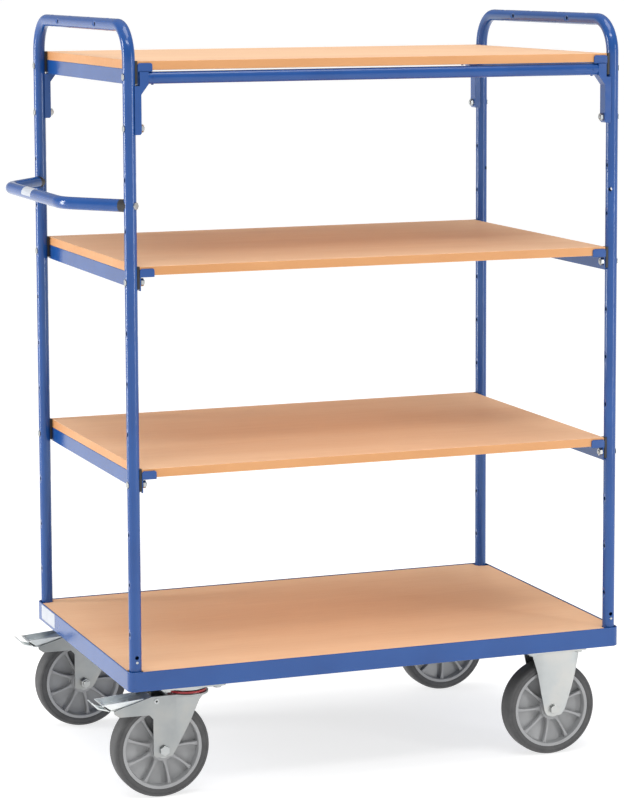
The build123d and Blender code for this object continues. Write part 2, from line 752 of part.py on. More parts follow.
def make_brake_rivets(sy):
    """Hollow rivets that the pedal's ears turn on."""
    x, y = -caster_x - pedal_pivot_back, sy * caster_y
    rivets = []
    for side in SIDES.values():
        start = (x, y + side * (fork_inner - pedal_side_gap - pedal_ear - 0.3), pedal_pivot_height)
        length = pedal_ear + pedal_side_gap + fork_wall + 0.3
        rivet = pipe(start, (0, side, 0), pedal_rivet_radius, 2.0, length)
        flange_y = y + side * (fork_inner + fork_wall)
        rivet += pipe((x, flange_y, pedal_pivot_height), (0, side, 0), 5.5, 2.0, 1.0)
        rivets.append(rivet)
    return joined(rivets)


# ---------------------------------------------------------------- all nodes
def main():
    os.makedirs("parts", exist_ok=True)
    write_node("deck_frame", make_deck_frame())
    write_node("deck_board", make_deck_board())
    write_node("corner_plates", make_corner_plates())
    write_node("lock_screws", make_lock_screws())
    for end, sx in ENDS.items():
        write_node(f"caster_beam_{end}", make_caster_beam(sx))
        write_node(f"end_frame_{end}", make_end_frame(sx))
        for shelf, height in shelf_heights.items():
            write_node(f"{shelf}_shelf_angle_{end}", make_shelf_angle(sx, height))
    for shelf, height in shelf_heights.items():
        write_node(f"{shelf}_shelf_board", make_shelf_board(height))
    write_node("shelf_spacers", make_shelf_spacers())
    write_node("shelf_bolts", make_shelf_bolts())
    write_node("rail_brackets", make_rail_brackets())
    write_node("bracket_bolts", make_bracket_bolts())
    write_node("rail_rivets", make_rail_rivets())
    write_node("push_handle", make_push_handle())
    write_node("handle_spacers", make_handle_spacers())
    write_node("handle_bolts", make_handle_bolts())
    write_node("caster_bolts", make_caster_bolts())
    for side, sy in SIDES.items():
        write_node(f"top_rail_{side}", make_top_rail(sy))
        write_node(f"swivel_head_{side}", make_swivel_head(sy))
        write_node(f"kingpin_{side}", make_kingpin(sy))
        write_node(f"swivel_fork_{side}", make_swivel_fork(sy))
        write_node(f"swivel_seal_{side}", make_seal_ring(sy))
        write_node(f"swivel_balls_{side}", make_balls(sy))
        write_node(f"brake_pedal_{side}", make_brake_pedal(sy))
        write_node(f"brake_rivets_{side}", make_brake_rivets(sy))
        write_node(f"fixed_fork_{side}", make_fixed_fork(sy))
        for end, kind in (("left", "swivel"), ("right", "fixed")):
            centre = wheel_centre(end, sy)
            write_node(f"{kind}_tyre_{side}", make_tyre(centre))
            write_node(f"{kind}_rim_{side}", make_rim(centre))
            write_node(f"{kind}_bearing_{side}", make_roller_bearing(centre))
            write_node(f"{kind}_axle_{side}", make_axle(centre, sy))


main()
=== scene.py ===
# %% [markdown]
# # A four-level shelf trolley
#
# This file dresses a trolley whose shapes and joints are already fixed in CAD. The real one stands on four
# rubber wheels. It has a steel deck, two end frames of bent tube, three wooden shelves between them and a
# push handle. Each step below first says what the piece or the finish is, then makes it.
#
# The CAD model arrives as one mesh per part, grouped in bodies that move together. A mesh with the right
# shape keeps it and gets a finish. A part that needs softer edges or finer detail gets a new mesh in its
# place, which rides on the same body.

# %% Load the frame
import json
import math

import bmesh
import bpy
from mathutils import Matrix, Vector


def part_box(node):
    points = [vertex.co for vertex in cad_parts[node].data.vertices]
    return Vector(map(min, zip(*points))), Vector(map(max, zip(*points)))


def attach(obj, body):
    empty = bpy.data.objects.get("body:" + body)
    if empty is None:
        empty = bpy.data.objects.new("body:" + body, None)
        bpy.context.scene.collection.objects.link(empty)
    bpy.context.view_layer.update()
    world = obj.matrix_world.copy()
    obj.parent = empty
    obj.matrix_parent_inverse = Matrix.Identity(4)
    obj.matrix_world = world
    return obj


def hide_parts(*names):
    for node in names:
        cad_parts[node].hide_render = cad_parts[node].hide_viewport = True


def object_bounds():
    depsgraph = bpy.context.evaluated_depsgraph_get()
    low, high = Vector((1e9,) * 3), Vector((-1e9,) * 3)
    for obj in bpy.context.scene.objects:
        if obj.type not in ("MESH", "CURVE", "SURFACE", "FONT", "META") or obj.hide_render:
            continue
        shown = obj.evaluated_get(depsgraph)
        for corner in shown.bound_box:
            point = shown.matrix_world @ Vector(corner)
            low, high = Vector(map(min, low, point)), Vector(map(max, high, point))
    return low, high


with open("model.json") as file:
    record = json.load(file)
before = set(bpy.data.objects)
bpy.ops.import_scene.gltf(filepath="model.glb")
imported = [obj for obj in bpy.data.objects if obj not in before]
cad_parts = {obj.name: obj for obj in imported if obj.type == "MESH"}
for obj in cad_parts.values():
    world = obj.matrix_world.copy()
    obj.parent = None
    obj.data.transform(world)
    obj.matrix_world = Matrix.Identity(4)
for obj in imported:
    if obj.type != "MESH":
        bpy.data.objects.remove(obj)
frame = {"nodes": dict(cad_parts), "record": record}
cad_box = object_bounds()
nodes = frame["nodes"]
body_of_node = {n: body for body, names in frame["record"]["behaviour"]["bodies"].items() for n in names}
slot_of_node = {part["node"]: part["material_slot"] for part in frame["record"]["subparts"]}
SIDES = ("front", "back")
ENDS = ("left", "right")
SHELVES = ("lower", "middle", "top")
MM = 0.001

# %% [markdown]
# ## The camera
#
# A product picture like this is taken from well back with a long lens, so that the posts stay almost
# parallel. The camera stands in front of the handle end, a little above the top shelf, and looks down
# slightly. A small vertical shift moves the picture down without tilting the posts, as a view camera does.

# %% The camera
camera_place = Vector((-2.0648, -5.6085, 1.6666))
camera_turn = math.radians(20.474)
camera_dip = math.radians(6.420)
camera_roll = math.radians(-0.245)

camera_data = bpy.data.cameras.new("camera")
camera_data.lens = 127.78  # millimetres, on a sensor as wide as a small-format negative
camera_data.sensor_width = 36.0
camera_data.shift_y = -0.15  # a share of the picture's longer side
camera = bpy.data.objects.new("camera", camera_data)
bpy.context.scene.collection.objects.link(camera)
facing = Matrix.Rotation(-camera_turn, 4, "Z") @ Matrix.Rotation(math.pi / 2 - camera_dip, 4, "X")
camera.matrix_world = Matrix.Translation(camera_place) @ facing @ Matrix.Rotation(camera_roll, 4, "Z")
bpy.context.scene.camera = camera
print("camera", tuple(round(c, 3) for c in camera.location))

# %% [markdown]
# ## Floor and light
#
# The floor is one very large pale sheet, so that no horizon shows. It glows a little, like a light
# table, which keeps the shadows under the wheels soft and pale. The sky is a light tent that is white
# low down and overhead and greyer between, so that metal and gloss have something to reflect. Two tall
# strip lights draw a thin bright line down either side of every post, a third one high in front does the
# same for the rails and the handle, and a wide box overhead lights the boards.


# %% Helpers for new meshes
def linked(name, mesh):
    """An object at the origin that shows this mesh."""
    piece = bpy.data.objects.new(name, mesh)
    bpy.context.scene.collection.objects.link(piece)
    return piece


def from_bmesh(name, bm):
    """Turns a bmesh into an object and frees the bmesh."""
    mesh = bpy.data.meshes.new(name)
    bm.to_mesh(mesh)
    bm.free()
    return linked(name, mesh)


# %% The floor
floor_size = 200.0
bm = bmesh.new()
bmesh.ops.create_grid(bm, x_segments=2, y_segments=2, size=floor_size)
floor = from_bmesh("floor", bm)
print("floor", floor_size * 2, "m across")


# %% The lights
def soft_box(name, place, target, width, height, power):
    """A rectangular area light that points at a target and isn't itself in the picture."""
    data = bpy.data.lights.new(name, "AREA")
    data.shape = "RECTANGLE"
    data.size = width
    data.size_y = height
    data.energy = power
    lamp = bpy.data.objects.new(name, data)
    bpy.context.scene.collection.objects.link(lamp)
    lamp.location = place
    lamp.rotation_mode = "QUATERNION"
    lamp.rotation_quaternion = (Vector(target) - Vector(place)).to_track_quat("-Z", "Y")
    lamp.visible_camera = False
    return lamp


middle = (cad_box[0] + cad_box[1]) / 2
soft_box("left_strip", (-4.2, 1.3, 1.5), middle, width=0.8, height=3.0, power=115.0)
soft_box("right_strip", (2.9, -3.75, 1.5), middle, width=0.55, height=3.0, power=50.0)
soft_box("top_box", (0.3, -0.6, 7.0), middle, width=4.0, height=4.0, power=190.0)
soft_box("front_strip", (-1.6, -4.8, 7.6), middle, width=6.0, height=1.0, power=190.0)


# %% The light tent
WHITE = (1.0, 1.0, 1.0, 1.0)
TENT_STRENGTH = 0.80
TENT_BLUE = 1.01  # the tent's greys lean a little to blue
# How bright the tent is at each height, from the horizon (0) to straight overhead (1).
TENT_LEVELS = ((0.09, 0.95), (0.22, 0.42), (0.55, 0.50), (0.80, 0.85))


def light_tent():
    """A sky whose brightness depends on height alone: white low down, grey half way, white overhead."""
    sky = bpy.data.worlds.new("light_tent")
    sky.use_nodes = True
    tree = sky.node_tree
    direction = tree.nodes.new("ShaderNodeTexCoord")
    split = tree.nodes.new("ShaderNodeSeparateXYZ")
    tent = tree.nodes.new("ShaderNodeValToRGB")
    stops = tent.color_ramp.elements
    stops[0].position, stops[0].color = 0.0, WHITE
    stops[1].position, stops[1].color = 1.0, WHITE
    for position, level in TENT_LEVELS:
        stops.new(position).color = (level, level, level * TENT_BLUE, 1.0)
    tree.links.new(direction.outputs["Generated"], split.inputs["Vector"])
    tree.links.new(split.outputs["Z"], tent.inputs["Fac"])
    tree.links.new(tent.outputs["Color"], tree.nodes["Background"].inputs["Color"])
    tree.nodes["Background"].inputs["Strength"].default_value = TENT_STRENGTH
    return sky


bpy.context.scene.world = light_tent()
bpy.context.scene.view_settings.view_transform = "Standard"
print("sky", bpy.context.scene.world.name, "with", len(TENT_LEVELS) + 2, "levels")

# %% [markdown]
# ## Finishes
#
# A finish is a small graph of nodes. Each one reads Object coordinates, which stay fixed to the piece, so
# the pattern doesn't slide when the piece moves. The helpers below build the parts that most finishes
# share: a noise at a given grain size, a colour that wanders between tones, and fine bumps.


# %% A new finish
FINISHES = {}


def finish_of(name, **sockets):
    """A new material and its Principled shader, with constant sockets set on the shader itself."""
    material = bpy.data.materials.new(name)
    material.use_nodes = True
    shader = material.node_tree.nodes["Principled BSDF"]
    for socket, value in sockets.items():
        shader.inputs[socket.replace("_", " ")].default_value = value
    return material, shader


# %% Noise
def noise(material, scale, stretch=(1.0, 1.0, 1.0), detail=3.0, roughness=0.5):
    """Noise on Object coordinates: scale is cells per metre, and a stretch below 1 makes them longer."""
    tree = material.node_tree
    place = tree.nodes.new("ShaderNodeTexCoord")
    mapping = tree.nodes.new("ShaderNodeMapping")
    texture = tree.nodes.new("ShaderNodeTexNoise")
    mapping.inputs["Scale"].default_value = stretch
    texture.inputs["Scale"].default_value = scale
    texture.inputs["Detail"].default_value = detail
    texture.inputs["Roughness"].default_value = roughness
    tree.links.new(place.outputs["Object"], mapping.inputs["Vector"])
    tree.links.new(mapping.outputs["Vector"], texture.inputs["Vector"])
    return texture.outputs["Fac"]


# %% Ramps, ranges and mixes
def ramp(material, factor, stops):
    """A colour that runs through stops, each a position and a colour."""
    band = material.node_tree.nodes.new("ShaderNodeValToRGB")
    band.color_ramp.elements[0].position = stops[0][0]
    band.color_ramp.elements[0].color = (*stops[0][1], 1.0)
    band.color_ramp.elements[1].position = stops[-1][0]
    band.color_ramp.elements[1].color = (*stops[-1][1], 1.0)
    for position, colour in stops[1:-1]:
        band.color_ramp.elements.new(position).color = (*colour, 1.0)
    material.node_tree.links.new(factor, band.inputs["Fac"])
    return band.outputs["Color"]


def between(material, factor, low, high, start=0.3, end=0.7):
    """A number from low to high as the factor goes from start to end."""
    spread = material.node_tree.nodes.new("ShaderNodeMapRange")
    spread.inputs["From Min"].default_value = start
    spread.inputs["From Max"].default_value = end
    spread.inputs["To Min"].default_value = low
    spread.inputs["To Max"].default_value = high
    material.node_tree.links.new(factor, spread.inputs["Value"])
    return spread.outputs["Result"]


def product(material, blend, first, second, share):
    """Two colours mixed with a blend mode."""
    mix = material.node_tree.nodes.new("ShaderNodeMix")
    mix.data_type = "RGBA"
    mix.blend_type = blend
    mix.inputs["Factor"].default_value = share
    material.node_tree.links.new(first, mix.inputs["A"])
    material.node_tree.links.new(second, mix.inputs["B"])
    return mix.outputs["Result"]


# %% Bumps and links
def bumps(material, shader, height, depth, strength):
    """Raises the surface by height, where 1 is depth metres, and strength is how much of it shows."""
    bump = material.node_tree.nodes.new("ShaderNodeBump")
    bump.inputs["Distance"].default_value = depth
    bump.inputs["Strength"].default_value = strength
    material.node_tree.links.new(height, bump.inputs["Height"])
    material.node_tree.links.new(bump.outputs["Normal"], shader.inputs["Normal"])


def plug(material, output, shader, socket):
    """Links a node's output to one of the shader's sockets."""
    material.node_tree.links.new(output, shader.inputs[socket])


# %% [markdown]
# ### Blue powder coat
#
# Powder paint is sprayed on dry and melted in an oven. It comes out glossy but not flat: it keeps a fine
# orange-peel texture about a millimetre across, and its gloss varies a little. Two noises do this, one
# for the peel and one for the slow change of tone and gloss.


# %% Blue powder coat
def powder_coat():
    material, shader = finish_of("blue_paint", Specular_IOR_Level=0.50)
    slow = noise(material, 9.0, detail=2.0)
    tones = [(0.3, (0.009, 0.062, 0.245)), (0.7, (0.013, 0.076, 0.285))]
    plug(material, ramp(material, slow, tones), shader, "Base Color")
    plug(material, between(material, noise(material, 60.0), 0.12, 0.18), shader, "Roughness")
    peel = noise(material, 500.0, detail=1.0)
    bumps(material, shader, peel, 0.01 * MM, 0.4)
    return material


FINISHES["blue_paint"] = powder_coat()
print("finish", FINISHES["blue_paint"].name)


# %% [markdown]
# ### Beech-decor board
#
# The boards are pressed wood with a printed beech film under clear resin. Beech has fine, short, darker
# flecks that all run along the board, over slow bands of tone. Stretching a noise along X gives both: a
# strong stretch for the flecks and a milder one for the bands. The film is satin, so lights leave no
# mirror image in it. The edges carry a glued strip of a deeper tone, plain and a little glossier.


# %% The face of a board
def beech_top():
    material, shader = finish_of("beech_top", Specular_IOR_Level=0.22)
    bands = noise(material, 7.0, (0.12, 1.0, 1.0), detail=4.0, roughness=0.6)
    flecks = noise(material, 420.0, (0.03, 1.0, 1.0), detail=2.0)
    tones = [(0.30, (0.77, 0.475, 0.285)), (0.5, (0.80, 0.510, 0.310)), (0.72, (0.83, 0.545, 0.340))]
    dots = ramp(material, flecks, [(0.36, (0.90, 0.83, 0.76)), (0.50, (1.0, 1.0, 1.0))])
    flecked = product(material, "MULTIPLY", ramp(material, bands, tones), dots, 0.4)
    plug(material, flecked, shader, "Base Color")
    gloss = between(material, noise(material, 30.0, (0.2, 1.0, 1.0)), 0.50, 0.58)
    plug(material, gloss, shader, "Roughness")
    bumps(material, shader, flecks, 0.04 * MM, 0.4)
    return material


FINISHES["beech_board"] = beech_top()
print("finish", FINISHES["beech_board"].name)


# %% The edge band of a board
def beech_edge():
    material, shader = finish_of("beech_edge", Specular_IOR_Level=0.40)
    tone = noise(material, 14.0, (0.3, 0.3, 1.0), detail=3.0)
    tones = [(0.3, (0.60, 0.280, 0.105)), (0.7, (0.67, 0.330, 0.135))]
    plug(material, ramp(material, tone, tones), shader, "Base Color")
    plug(material, between(material, noise(material, 90.0), 0.38, 0.48), shader, "Roughness")
    bumps(material, shader, noise(material, 900.0, (0.1, 0.1, 1.0), detail=1.0), 0.04 * MM, 0.4)
    return material


edge_band = beech_edge()
print("finish", edge_band.name)


# %% [markdown]
# ### Bright zinc
#
# Forks, pedals and bolts are steel with a thin bright zinc plate. It reflects like a cloudy mirror, with
# faint patches where the bath left it bluer or yellower, and fine lines from the rolling of the sheet.
# Feet have scuffed the pedals, so theirs is duller, and it is also paler, which is painted light that keeps
# them bright in the deck's shade. The swivel forks get a darker copy of the zinc, which is painted shade.
# Ground bearing steel is plain grey and glossier.


# %% Bright zinc
def zinc(name, shade, dull):
    """Zinc plate: shade scales its tones, and dull is its middle roughness."""
    material, shader = finish_of(name, Metallic=1.0)
    patches = noise(material, 16.0, detail=3.0)
    tones = [(0.3, (0.78, 0.83, 0.84)), (0.5, (0.90, 0.94, 0.94)), (0.7, (1.0, 1.0, 0.96))]
    tones = [(position, tuple(shade * c for c in colour)) for position, colour in tones]
    plug(material, ramp(material, patches, tones), shader, "Base Color")
    plug(material, between(material, noise(material, 50.0), dull - 0.05, dull + 0.05), shader, "Roughness")
    lines = noise(material, 900.0, (1.0, 1.0, 0.06), detail=2.0)
    bumps(material, shader, lines, 0.01 * MM, 0.4)
    return material


FINISHES["zinc_steel"] = zinc("zinc_steel", 0.50, 0.33)
# The pedals' zinc is paler than the rest: painted light that keeps them bright in the deck's shade.
tread_zinc_painted_light = zinc("tread_zinc_painted_light", 0.85, 0.50)
# The swivel forks' zinc is darker than the rest: painted shade on a copy of the same plate.
fork_zinc_painted_shade = zinc("fork_zinc_painted_shade", 0.38, 0.33)
print("finishes", FINISHES["zinc_steel"].name, tread_zinc_painted_light.name, fork_zinc_painted_shade.name)


# %% Bearing steel
def bearing_steel():
    material, shader = finish_of("bearing_steel", Metallic=1.0)
    tones = [(0.3, (0.45, 0.45, 0.46)), (0.7, (0.6, 0.6, 0.62))]
    plug(material, ramp(material, noise(material, 80.0), tones), shader, "Base Color")
    plug(material, between(material, noise(material, 200.0), 0.18, 0.28), shader, "Roughness")
    return material


FINISHES["bearing_steel"] = bearing_steel()
print("finish", FINISHES["bearing_steel"].name)


# %% [markdown]
# ### Rubber, moulded plastics and the seal
#
# Solid rubber is a dark grey that doesn't mark floors. It is almost matt, with a fine skin and a little
# dust that makes it paler in patches. The rims are pale grey polyamide from a textured mould. The
# saddles and rings between tube and shelf are plain black plastic.


# %% Tyre rubber
def tyre_rubber():
    material, shader = finish_of("tyre_rubber", Specular_IOR_Level=0.35)
    dust = noise(material, 26.0, detail=5.0, roughness=0.65)
    tones = [(0.35, (0.064, 0.064, 0.066)), (0.65, (0.092, 0.092, 0.093))]
    plug(material, ramp(material, dust, tones), shader, "Base Color")
    plug(material, between(material, dust, 0.55, 0.72), shader, "Roughness")
    bumps(material, shader, noise(material, 1100.0, detail=3.0), 0.08 * MM, 0.6)
    return material


FINISHES["tyre_rubber"] = tyre_rubber()
print("finish", FINISHES["tyre_rubber"].name)


# %% Moulded plastics, the label film and the floor's paint
def moulded(name, dark, light, roughness, grain):
    """A moulded plastic between two tones, with the fine grain of its mould."""
    material, shader = finish_of(name, Specular_IOR_Level=0.45)
    plug(material, ramp(material, noise(material, 18.0), [(0.3, dark), (0.7, light)]), shader, "Base Color")
    gloss = between(material, noise(material, 70.0), roughness - 0.05, roughness + 0.05)
    plug(material, gloss, shader, "Roughness")
    bumps(material, shader, noise(material, grain, detail=2.0), 0.05 * MM, 0.5)
    return material


FINISHES["rim_grey"] = moulded("rim_grey", (0.30, 0.305, 0.31), (0.35, 0.355, 0.36), 0.36, 1500.0)
FINISHES["black_plastic"] = moulded("black_plastic", (0.014, 0.014, 0.015), (0.022, 0.022, 0.023), 0.45, 1200.0)
FINISHES["seal_red"] = moulded("seal_red", (0.36, 0.02, 0.03), (0.46, 0.03, 0.04), 0.35, 1200.0)
label_film = moulded("label_film", (0.46, 0.49, 0.54), (0.54, 0.57, 0.61), 0.35, 900.0)
floor_paint = moulded("floor_paint", (0.46, 0.46, 0.46), (0.48, 0.48, 0.48), 0.8, 60.0)
floor_glow = 0.72
floor_shader = floor_paint.node_tree.nodes["Principled BSDF"]
floor_shader.inputs["Emission Color"].default_value = WHITE
floor_shader.inputs["Emission Strength"].default_value = floor_glow
floor.data.materials.append(floor_paint)
print("finishes", sorted(FINISHES))


# %% Every CAD node gets the finish of its slot
def dress(piece, finish):
    """Puts one finish on all of a piece's faces."""
    piece.data.materials.clear()
    piece.data.materials.append(finish)


for name, piece in nodes.items():
    dress(piece, FINISHES[slot_of_node[name]])
print("dressed", len(nodes), "CAD nodes")

# %% [markdown]
# ## New pieces in place of CAD parts
#
# A new piece has to know which parts it stands for. The helper below makes it ride on their body and hides
# them.


# %% A piece that stands for CAD nodes
def stands_for(piece, *replaced):
    """The piece rides on the body of the nodes that it replaces, and these are hidden."""
    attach(piece, body_of_node[replaced[0]])
    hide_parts(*replaced)
    return piece


# %% The box of a CAD node, and shading
def middle_and_size(node):
    """The middle of a CAD node's box and its three lengths."""
    low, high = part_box(node)
    return (low + high) / 2, high - low


def shaded(bm, name, finish, angle):
    """Smooth shading that keeps the edges sharper than angle degrees."""
    for face in bm.faces:
        face.smooth = True
    made = from_bmesh(name, bm)
    dress(made, finish)
    made.data.set_sharp_from_angle(angle=math.radians(angle))
    return made


print("a tyre's box", [round(length, 4) for length in middle_and_size("swivel_tyre_front")[1]])

# %% [markdown]
# ## Boards
#
# A board is a box, but a real one shows two things that a plain box doesn't: its arris is rounded by
# about a millimetre where the edge band was trimmed, and band and face are different films. So each
# board is a cube scaled to the CAD part's size, with its edges bevelled, and the faces that look
# sideways get the band's finish.


# %% The three shelf boards
BOARD_ARRIS = 1.2 * MM
FACING_UP = 0.7  # a face whose normal is steeper than this is top or bottom, and the others are edge band


def board(node):
    centre, size = middle_and_size(node)
    bm = bmesh.new()
    bmesh.ops.create_cube(bm, size=1.0)
    bmesh.ops.scale(bm, vec=size, verts=bm.verts)
    bmesh.ops.translate(bm, vec=centre, verts=bm.verts)
    bmesh.ops.bevel(bm, geom=bm.edges[:], offset=BOARD_ARRIS, affect="EDGES", segments=3, profile=0.5,
                    material=-1)
    for face in bm.faces:
        face.smooth = True
        face.material_index = 0 if abs(face.normal.z) > FACING_UP else 1
    made = from_bmesh(node + "_laminate", bm)
    made.data.materials.append(FINISHES["beech_board"])
    made.data.materials.append(edge_band)
    made.modifiers.new("even_normals", "WEIGHTED_NORMAL")
    return stands_for(made, node)


for level in SHELVES:
    shelf = board(f"{level}_shelf_board")
    print(shelf.name, [round(d, 3) for d in shelf.dimensions])

# %% [markdown]
# ## Folded and pressed steel
#
# Sheet steel never has a knife edge: a press rounds it, and paint or zinc rounds it further. Light
# catches that small radius and draws every outline. The CAD parts have sharp edges, so each one below
# is copied, its loose triangles are welded, flat triangles are dissolved into whole faces, and every
# edge that turns by more than about 30 degrees is bevelled. The radius follows the sheet: 1.3 mm on the
# deck's fold and less on small fittings. On a few parts the corners crowd together, and there the bevel is
# clamped so that they don't run into each other. Weighted normals keep the flats flat.
#
# Two groups change a little more. The heads of the bolts through the posts sit low in their dimples. Each
# pedal is a folded tray, so it gets an upright wall along either edge.


# %% Low bolt heads
LOW_HEADS = ["shelf_bolts", "bracket_bolts"]
HEAD_SHARE = 0.4  # what is left of a head's height
dimple_floor = 11.5 * MM  # how far the floor of a dimple lies from its post's axis
post_low, post_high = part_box("end_frame_right")
deck_middle = sum(corner.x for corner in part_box("deck_frame")) / 2
head_start = (post_low.x + post_high.x) / 2 - deck_middle + dimple_floor


def press_heads(bm):
    """Bolt heads sit in the dimples of the posts: what stands out past head_start is pressed nearly flat."""
    for vert in bm.verts:
        out = abs(vert.co.x - deck_middle) - head_start
        if out > 0:
            vert.co.x -= math.copysign(out * (1 - HEAD_SHARE), vert.co.x - deck_middle)


print("heads start", round(head_start, 4), "m from the middle of the deck")

# %% Pedal walls
PEDALS = ["brake_pedal_front", "brake_pedal_back"]
WALL_THICKNESS = 2 * MM
WALL_ARRIS = 0.6 * MM
# The foot and the crest of a wall at its two ends: how far in from the pedal's free end, and how far up
# from the top of its box.
WALL_AT_FREE_END = ((31 * MM, -19 * MM), (18 * MM, -5 * MM))
WALL_AT_PIVOT = ((105 * MM, -7 * MM), (105 * MM, 1.5 * MM))


def add_wall(bm, low, high, side):
    """The upright wall along one edge of a pedal. It rises from the tread's dip and tapers to the pivot."""
    wall = bmesh.ops.create_cube(bm, size=1.0)["verts"]
    edge = (low.y + high.y) / 2 + side * ((high.y - low.y) / 2 - WALL_THICKNESS / 2)
    for vert in wall:
        ends = WALL_AT_PIVOT if vert.co.x > 0 else WALL_AT_FREE_END
        inward, up = ends[int(vert.co.z > 0)]
        vert.co = (low.x + inward, edge + WALL_THICKNESS * vert.co.y, high.z + up)
    corners = list({line for vert in wall for line in vert.link_edges})
    bmesh.ops.bevel(bm, geom=corners, offset=WALL_ARRIS, affect="EDGES", segments=2, profile=0.5, material=-1)


print("walls for", PEDALS)

# %% Softened copies of CAD parts
WELD_DISTANCE = 0.02 * MM
FLAT_TURN = math.radians(0.6)
SHARP_TURN = math.radians(32)
SMOOTH_TURN = 50  # degrees: shading stays smooth across any edge that turns by less
# Pedals get the paler zinc, which is painted light, and the swivel forks the darker one, which is painted
# shade.
OWN_ZINC = {node: tread_zinc_painted_light for node in PEDALS} | {f"swivel_fork_{side}": fork_zinc_painted_shade for side in SIDES}


def softened(node, radius, crowded):
    """A copy of a CAD node with its sharp edges rounded to radius, clamped where they are crowded."""
    bm = bmesh.new()
    bm.from_mesh(nodes[node].data)
    bmesh.ops.remove_doubles(bm, verts=bm.verts, dist=WELD_DISTANCE)
    bmesh.ops.dissolve_limit(bm, angle_limit=FLAT_TURN, verts=bm.verts, edges=bm.edges)
    corners = [edge for edge in bm.edges if edge.is_manifold and edge.calc_face_angle(0.0) > SHARP_TURN]
    bmesh.ops.bevel(bm, geom=corners, offset=radius, affect="EDGES", segments=2, profile=0.5,
                    material=-1, clamp_overlap=crowded)
    if node in LOW_HEADS:
        press_heads(bm)
    if node in PEDALS:
        for side in (-1, 1):
            add_wall(bm, *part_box(node), side)
    made = shaded(bm, node + "_formed", OWN_ZINC.get(node, FINISHES[slot_of_node[node]]), SMOOTH_TURN)
    weighted = made.modifiers.new("even_normals", "WEIGHTED_NORMAL")
    weighted.keep_sharp = True
    return stands_for(made, node)


# %% The folded and pressed parts
# The radius of each part's edges, in millimetres.
EDGE_RADII = {"deck_frame": 1.3, "corner_plates": 0.8, "rail_brackets": 0.9, "shelf_spacers": 0.8,
              "handle_spacers": 0.9, "shelf_bolts": 0.6, "bracket_bolts": 0.6, "handle_bolts": 0.6,
              "caster_bolts": 0.6, "lock_screws": 0.4}
CROWDED = ["rail_brackets", "handle_spacers"] + PEDALS
for end in ENDS:
    EDGE_RADII[f"caster_beam_{end}"] = 1.0
    for level in SHELVES:
        EDGE_RADII[f"{level}_shelf_angle_{end}"] = 1.0
for side in SIDES:
    EDGE_RADII[f"swivel_fork_{side}"] = 0.35
    EDGE_RADII[f"fixed_fork_{side}"] = 0.9
    EDGE_RADII[f"swivel_head_{side}"] = 0.45
    EDGE_RADII[f"brake_pedal_{side}"] = 0.7
    EDGE_RADII[f"brake_rivets_{side}"] = 0.3
    EDGE_RADII[f"swivel_axle_{side}"] = 0.6
    EDGE_RADII[f"fixed_axle_{side}"] = 0.6
for node, radius in EDGE_RADII.items():
    formed = softened(node, radius * MM, node in CROWDED)
    print(node, len(nodes[node].data.polygons), "->", len(formed.data.polygons), "faces")

# %% [markdown]
# ## Wheels
#
# Each wheel is a solid rubber tyre on a moulded rim. Both are turned shapes, so half of the section is
# drawn once as a short outline, the tyre's shoulders are rounded by a bevel on the vertices, and a full
# spin about the axle makes the wheel. The tyre has a slightly crowned tread, round shoulders and a fine
# moulding line on each wall.


# %% Turned shapes
TURNING_STEPS = 96


def turned(outline, centre, rounding=0.0, corners=()):
    """Spins a closed outline of (radius, along the axle) points about the axle, which runs along Y.

    The corners at the given places in the outline are rounded first."""
    bm = bmesh.new()
    ring = [bm.verts.new((radius, along, 0.0)) for radius, along in outline]
    for k in range(len(ring)):
        bm.edges.new((ring[k - 1], ring[k]))
    if corners:
        picked = [ring[k] for k in corners]
        bmesh.ops.bevel(bm, geom=picked, offset=rounding, affect="VERTICES", segments=5, profile=0.5,
                        material=-1)
    bmesh.ops.spin(bm, geom=bm.verts[:] + bm.edges[:], cent=(0, 0, 0), axis=(0, 1, 0), dvec=(0, 0, 0),
                   angle=2 * math.pi, steps=TURNING_STEPS, use_merge=True)
    bmesh.ops.remove_doubles(bm, verts=bm.verts, dist=WELD_DISTANCE)
    bmesh.ops.recalc_face_normals(bm, faces=bm.faces)
    bmesh.ops.translate(bm, vec=centre, verts=bm.verts)
    return bm


# %% The tyres
RUBBER_DEPTH = 17.5 * MM
LINE_DROP, LINE_HALF_WIDTH, LINE_DEPTH = 8.0 * MM, 0.9 * MM, 0.8 * MM
CROWN = 0.7 * MM
SHOULDER_RADIUS = 9.0 * MM
TREAD_SHARE = 0.35  # how much of the tread's width is level


def tyre(node):
    centre, size = middle_and_size(node)
    outer = size.z / 2
    half = size.y / 2
    seat = outer - RUBBER_DEPTH
    line = outer - LINE_DROP
    wall = [(seat, half - 1.5 * MM), (seat + 4 * MM, half), (line - LINE_HALF_WIDTH, half),
            (line, half - LINE_DEPTH), (line + LINE_HALF_WIDTH, half), (outer - CROWN, half),
            (outer, half * TREAD_SHARE)]
    outline = wall + [(radius, -along) for radius, along in reversed(wall)]
    shoulder = wall.index((outer - CROWN, half))
    bm = turned(outline, centre, SHOULDER_RADIUS, (shoulder, len(outline) - 1 - shoulder))
    made = shaded(bm, node + "_rubber", FINISHES["tyre_rubber"], SMOOTH_TURN)
    return stands_for(made, node)


for side in SIDES:
    for kind in ("swivel", "fixed"):
        rubber = tyre(f"{kind}_tyre_{side}")
        print(rubber.name, [round(d, 4) for d in rubber.dimensions])

# %% [markdown]
# ### Rims
#
# The rim is one moulding: a hub, a thin web and a wide outer ring, tied together by nine ribs. A mould
# needs draft and soft roots, so the hub and the ring taper towards the web and each rib flares where it
# meets them. The ribs also lean a little to one side. Each rim has stopped at its own angle.

# %% The ribs of a rim
RIBS = 9
RIB_CUTS = 9
RIB_ARRIS = 0.8 * MM


